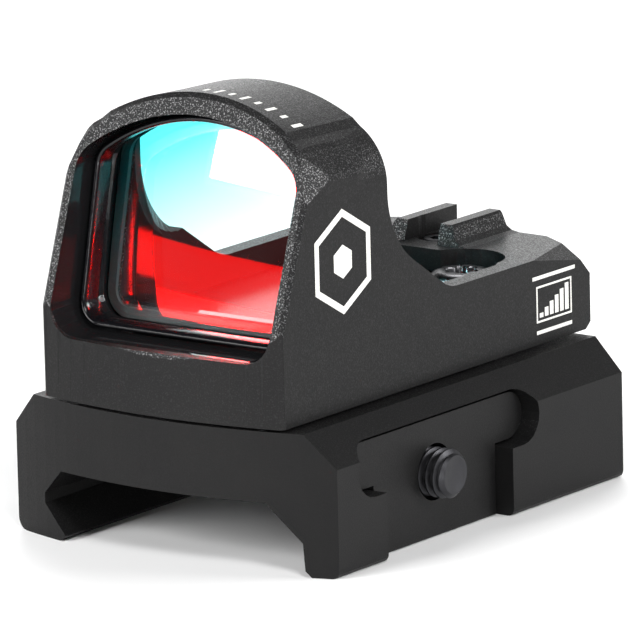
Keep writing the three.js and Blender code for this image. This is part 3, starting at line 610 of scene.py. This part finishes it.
def thread_rings():
    """Rings that climb by one pitch per turn, so that the crest is a real helix. It fades in at the start."""
    around, pitch, start, end = BOLT["around"], THREAD["pitch"], THREAD["start"], bolt_high.x
    step = pitch / THREAD["per_turn"]
    rings = []
    for i in range(math.ceil((end - start) / step) + THREAD["per_turn"] + 1):
        ring = []
        for k in range(around):
            angle = 2 * math.pi * k / around
            x = min(max(start + i * step - pitch * k / around, start), end)
            turns = (x - start) / pitch
            entry = min(turns, 1.0)
            radius = BOLT["radius"] + (thread_radius(turns + k / around) - BOLT["radius"]) * entry
            radius = min(radius, BOLT["radius"] - THREAD["tip"] + (end - x))
            ring.append((radius * math.cos(angle), radius * math.sin(angle), x))
        rings.append(ring)
    return rings + turned_rings([(r * MM, end - depth * MM) for r, depth in THREAD["dish"]], around)


def cross_bolt():
    """The clamp's bolt: round head with a hex socket, shank, and a real helical thread at the tip."""
    name = "cross_bolt_threaded"
    vertices, faces = skin_rings(head_rings() + thread_rings())
    laid_down = [(along, BOLT_Y + across, BOLT_Z + up) for across, up, along in vertices]
    mesh = mesh_of(name, laid_down, faces)
    piece = new_piece(name, mesh, [MATERIALS["black_steel"]], "cross_bolt", ["clamp_screw"])
    shade_by_angle(piece, 38)


cross_bolt()

# ---------------------------------------------------------------- mounting screws

# Depths and lengths run from the head's top.
SCREW = {
    "radius": 1.5 * MM,
    "head_length": 1.65 * MM,
    "flat_radius": 1.75 * MM,
    "head_round": ((0.55, 0.06), (0.25, 0.2), (0.08, 0.42), (0.0, 0.75)),  # inset and depth of each ring, mm
    "under_break": 0.1 * MM,
    "point_inset": 0.25 * MM,
    "point_length": 0.3 * MM,
    "lobe_outer": 1.38 * MM,
    "lobe_inner": 1.0 * MM,
    "recess_depth": 1.15 * MM,
    "recess_fillet": 0.25 * MM,
    "drill_depth": 0.25 * MM,
    "recess_floor": 0.86,  # the floor's share of the recess's width
    "flare": 0.12 * MM,
    "flare_depth": 0.14 * MM,
    "drill_radius": 0.1 * MM,
    "around": 72,
    "turn": math.radians(11),
}


def mounting_screw(name):
    """Pan head screw with a six-lobe recess."""
    low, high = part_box(name)
    x, y = (low.x + high.x) / 2, (low.y + high.y) / 2
    head = (high.x - low.x) / 2
    top = high.z
    under = top - SCREW["head_length"]
    floor = top - SCREW["recess_depth"]

    def lobes(angle):
        return lobed_radius(angle, SCREW["lobe_outer"], SCREW["lobe_inner"])

    profile = [
        (SCREW["drill_radius"], floor - SCREW["drill_depth"]),
        (lambda angle: lobes(angle) * SCREW["recess_floor"], floor),
        (lobes, floor + SCREW["recess_fillet"]),
        (lobes, top - SCREW["flare_depth"]),
        (lambda angle: lobes(angle) + SCREW["flare"], top),
        (SCREW["flat_radius"], top),
    ]
    profile += [(head - inset * MM, top - depth * MM) for inset, depth in SCREW["head_round"]]
    profile += [
        (head, under + SCREW["under_break"]),
        (head - SCREW["under_break"], under),
        (SCREW["radius"], under),
        (SCREW["radius"], low.z + SCREW["point_length"]),
        (SCREW["radius"] - SCREW["point_inset"], low.z),
    ]
    vertices, faces = skin_rings(turned_rings(profile, SCREW["around"]))
    cosine, sine = math.cos(SCREW["turn"]), math.sin(SCREW["turn"])
    placed = [(x + a * cosine - b * sine, y + a * sine + b * cosine, z) for a, b, z in vertices]
    piece_name = name.replace("mounting_screw", "six_lobe_screw")
    mesh = mesh_of(piece_name, placed, faces)
    piece = new_piece(piece_name, mesh, [MATERIALS["screw_steel"]], "housing", [name])
    shade_by_angle(piece, 42)


mounting_screw("mounting_screw_left")
mounting_screw("mounting_screw_right")

# ---------------------------------------------------------------- bezel

BEAD_FLAT_ANGLE = math.radians(20)
BEAD_SKEW_ANGLE = math.radians(80)


def rounded_bezel():
    """The bead round the lens with its facets rounded off."""
    name = "lens_bezel_bead"
    shape = bmesh.new()
    shape.from_mesh(frame["nodes"]["lens_bezel"].data)
    bmesh.ops.remove_doubles(shape, verts=shape.verts, dist=2 * SAME_VERTEX)
    bmesh.ops.join_triangles(
        shape, faces=shape.faces, angle_face_threshold=BEAD_FLAT_ANGLE, angle_shape_threshold=BEAD_SKEW_ANGLE,
    )
    mesh = bpy.data.meshes.new(name)
    shape.to_mesh(mesh)
    shape.free()
    for polygon in mesh.polygons:
        polygon.use_smooth = True
    piece = new_piece(name, mesh, [MATERIALS["bezel_black"]], "housing", ["lens_bezel"])
    round_off = piece.modifiers.new("round_off", "SUBSURF")
    round_off.levels = round_off.render_levels = 2


rounded_bezel()

# ---------------------------------------------------------------- printed marks

body_skin = bmesh.new()
body_skin.from_mesh(frame["nodes"]["sight_body"].data)
HOUSING_SKIN = BVHTree.FromBMesh(body_skin)
body_skin.free()

PRINT_THICKNESS = 0.018 * MM
HEXAGON = [math.radians(30 + 60 * i) for i in range(6)]
SIDE_MARK = {"y": -12.6 * MM, "z": 17.8 * MM, "outer": 4.2 * MM, "width": 0.62 * MM, "dot": 1.35 * MM}
LABEL = {
    "front": 13.3 * MM,
    "rear": 18.2 * MM,
    "low": 7.75 * MM,
    "high": 10.75 * MM,
    "line": 0.16 * MM,
    "overhang": 0.5 * MM,
    "upper_rule": (0.55 * MM, 0.85 * MM),  # above the frame
    "lower_rule": (0.95 * MM, 0.65 * MM),  # below the frame
    "bars": 6,
}
TICKS = {
    "count": 8,
    "first_x": -0.6,  # mm
    "pitch": 1.25,  # mm
    "y": -13.2 * MM,
    "half_width": 0.16 * MM,
    "half_lengths": (0.38, 0.62),  # mm, short and long by turns
}
OVERHEAD = 0.05


def print_patches(name, outlines):
    """One thin printed piece. Each outline is a closed list of (point, normal) on the surface."""
    vertices, faces = [], []
    for outline in outlines:
        first, count = len(vertices), len(outline)
        vertices += [point + normal * PRINT_THICKNESS for point, normal in outline]
        vertices += [point - normal * PRINT_THICKNESS for point, normal in outline]
        faces.append(tuple(range(first, first + count)))
        faces.append(tuple(range(first + count, first + 2 * count))[::-1])
        faces += ring_faces(first, first + count, count)
    new_piece(name, mesh_of(name, vertices, faces, smooth=False), [INK], "housing")


def side_point(y, z):
    return Vector((SIDE_X, y, z)), Vector((1, 0, 0))


def mark_point(radius, angle):
    """A point of the side mark, from its centre."""
    return side_point(SIDE_MARK["y"] + radius * math.cos(angle), SIDE_MARK["z"] + radius * math.sin(angle))


def side_mark():
    """A plain hexagon ring of six bars with a small solid hexagon in the middle."""
    outer = SIDE_MARK["outer"]
    inner = outer - SIDE_MARK["width"]
    outlines = []
    for start, end in zip(HEXAGON, HEXAGON[1:] + HEXAGON[:1]):
        corners = ((outer, start), (outer, end), (inner, end), (inner, start))
        outlines.append([mark_point(*corner) for corner in corners])
    outlines.append([mark_point(SIDE_MARK["dot"], angle) for angle in HEXAGON])
    print_patches("side_mark", outlines)


def rectangle(y, z):
    return [side_point(y[0], z[0]), side_point(y[1], z[0]), side_point(y[1], z[1]), side_point(y[0], z[1])]


def rear_label():
    """A framed row of rising bars, with a plain rule above and below."""
    front, rear, low, high = (LABEL[key] for key in ("front", "rear", "low", "high"))
    line, overhang = LABEL["line"], LABEL["overhang"]
    above, below = LABEL["upper_rule"], LABEL["lower_rule"]
    parts = [
        rectangle((front, rear), (high - line, high)),
        rectangle((front, rear), (low, low + line)),
        rectangle((front, front + line), (low + line, high - line)),
        rectangle((rear - line, rear), (low + line, high - line)),
        rectangle((front - overhang, rear + overhang), (high + above[0], high + above[1])),
        rectangle((front, rear), (low - below[0], low - below[1])),
    ]
    bars = LABEL["bars"]
    pitch = (rear - front - 4 * line) / bars
    foot = low + 2.5 * line
    for i in range(bars):
        start = front + 2 * line + (i + 0.15) * pitch
        top = foot + (high - low - 5 * line) * (i + 1) / bars
        parts.append(rectangle((start, start + 0.7 * pitch), (foot, top)))
    print_patches("rear_label", parts)


def crown_point(x, y):
    """The top of the housing over a place, and the way that it faces."""
    hit, normal, _, _ = HOUSING_SKIN.ray_cast(Vector((x, y, OVERHEAD)), Vector((0, 0, -1)))
    return hit, normal


def crown_ticks():
    """Short ticks in a row across the crown."""
    half_width = TICKS["half_width"]
    marks = []
    for i in range(TICKS["count"]):
        x = (TICKS["first_x"] + TICKS["pitch"] * i) * MM
        half_length = TICKS["half_lengths"][i % 2] * MM
        corners = ((-1, -1), (1, -1), (1, 1), (-1, 1))
        marks.append([crown_point(x + a * half_width, TICKS["y"] + b * half_length) for a, b in corners])
    print_patches("crown_ticks", marks)


side_mark()
rear_label()
crown_ticks()

# ---------------------------------------------------------------- studio and camera

# Heights in the world are sines of the angle above the horizon.
SWEEP = {"top": 0.076, "blur": 0.002, "bright": 0.9, "dark": 0.03}
GLOW = {
    "towards": (-0.6, 0.8, 0.0),
    "edge": 0.6,  # cosines of the angle away from that direction
    "core": 0.95,
    "bright": 2.8,
    "top": 0.45,
    "full_below": 0.3,
}
FLOOR_HALF_SIZE = 0.9
FLOOR_TONE = (0.94, 0.94, 0.94, 1.0)
AIM = Vector((0, 0, 0.01))

CAMERA = {
    "place": (0.4086, -0.5455, 0.1640),
    "azimuth": 36.832,  # from -Y towards +X
    "elevation": 12.789,
    "roll": -1.375,
    "lens": 492.1,
}


def direction(azimuth, elevation):
    """A unit vector. Azimuth runs from -Y towards +X."""
    around, above = math.radians(azimuth), math.radians(elevation)
    return Vector((
        math.sin(around) * math.cos(above),
        -math.cos(around) * math.cos(above),
        math.sin(above),
    ))


def add_camera():
    data = bpy.data.cameras.new("camera")
    data.lens = CAMERA["lens"]
    data.sensor_width = 36.0
    data.clip_start = 0.01
    camera = bpy.data.objects.new("camera", data)
    bpy.context.scene.collection.objects.link(camera)
    back = direction(CAMERA["azimuth"], CAMERA["elevation"])
    right = Vector((0, 0, 1)).cross(back).normalized()
    up = back.cross(right)
    turn = Matrix((right, up, back)).transposed() @ Matrix.Rotation(math.radians(CAMERA["roll"]), 3, "Z")
    camera.matrix_world = Matrix.Translation(CAMERA["place"]) @ turn.to_4x4()
    bpy.context.scene.camera = camera


def add_floor():
    """A square sheet of white paper that the object stands on."""
    paper = Shader("floor_paper").surface(Base_Color=FLOOR_TONE, Roughness=0.6)
    size, z = FLOOR_HALF_SIZE, cad_box[0][2]
    mesh = bpy.data.meshes.new("floor")
    corners = [(-size, -size, z), (size, -size, z), (size, size, z), (-size, size, z)]
    mesh.from_pydata(corners, [], [(0, 1, 2, 3)])
    mesh.materials.append(paper)
    floor = bpy.data.objects.new("floor", mesh)
    bpy.context.scene.collection.objects.link(floor)


def softbox(name, azimuth, elevation, distance, width, height, power):
    """A rectangular area light aimed at the object."""
    light = bpy.data.lights.new(name, "AREA")
    light.shape = "RECTANGLE"
    light.size, light.size_y = width, height
    light.energy = power
    lamp = bpy.data.objects.new(name, light)
    towards = direction(azimuth, elevation)
    lamp.location = towards * distance + AIM
    lamp.rotation_euler = towards.to_track_quat("Z", "Y").to_euler()
    bpy.context.scene.collection.objects.link(lamp)


def add_world():
    """A low bright sweep all round, dark above it, and a glow behind on the left."""
    world = bpy.data.worlds.new("studio")
    world.use_nodes = True
    sky = NodeTree(world.node_tree, "Generated")
    height = sky.axis("Z")
    low_edge, high_edge = SWEEP["top"] - SWEEP["blur"], SWEEP["top"] + SWEEP["blur"]
    sweep = sky.remap(height, low_edge, high_edge, SWEEP["bright"], SWEEP["dark"])
    sockets = {0: sky.place, 1: GLOW["towards"]}
    behind = sky.add("VectorMath", sockets, operation="DOT_PRODUCT").outputs["Value"]
    spread = sky.remap(behind, GLOW["edge"], GLOW["core"], 0.0, GLOW["bright"])
    glow = sky.product(spread, sky.remap(height, GLOW["top"], GLOW["full_below"]))
    background = world.node_tree.nodes["Background"]
    sky.feed(background.inputs["Strength"], sky.math("MAXIMUM", sweep, glow))
    sky.feed(background.inputs["Color"], (1.0, 1.0, 1.0, 1.0))
    bpy.context.scene.world = world


def add_light():
    add_world()
    softbox("key", azimuth=-22.5, elevation=26.2, distance=1.2, width=0.675, height=0.57, power=17)
    softbox("rim", azimuth=121, elevation=23, distance=1.2, width=0.45, height=0.45, power=9)
    softbox("corner", azimuth=57, elevation=47, distance=1.2, width=0.35, height=0.35, power=8)
    softbox("behind", azimuth=-150, elevation=50, distance=1.3, width=0.6, height=0.6, power=7)
    softbox("low", azimuth=45.5, elevation=2.6, distance=1.2, width=0.17, height=0.1, power=3.6)
    bpy.context.scene.view_settings.view_transform = "Standard"


add_camera()
add_floor()
add_light()
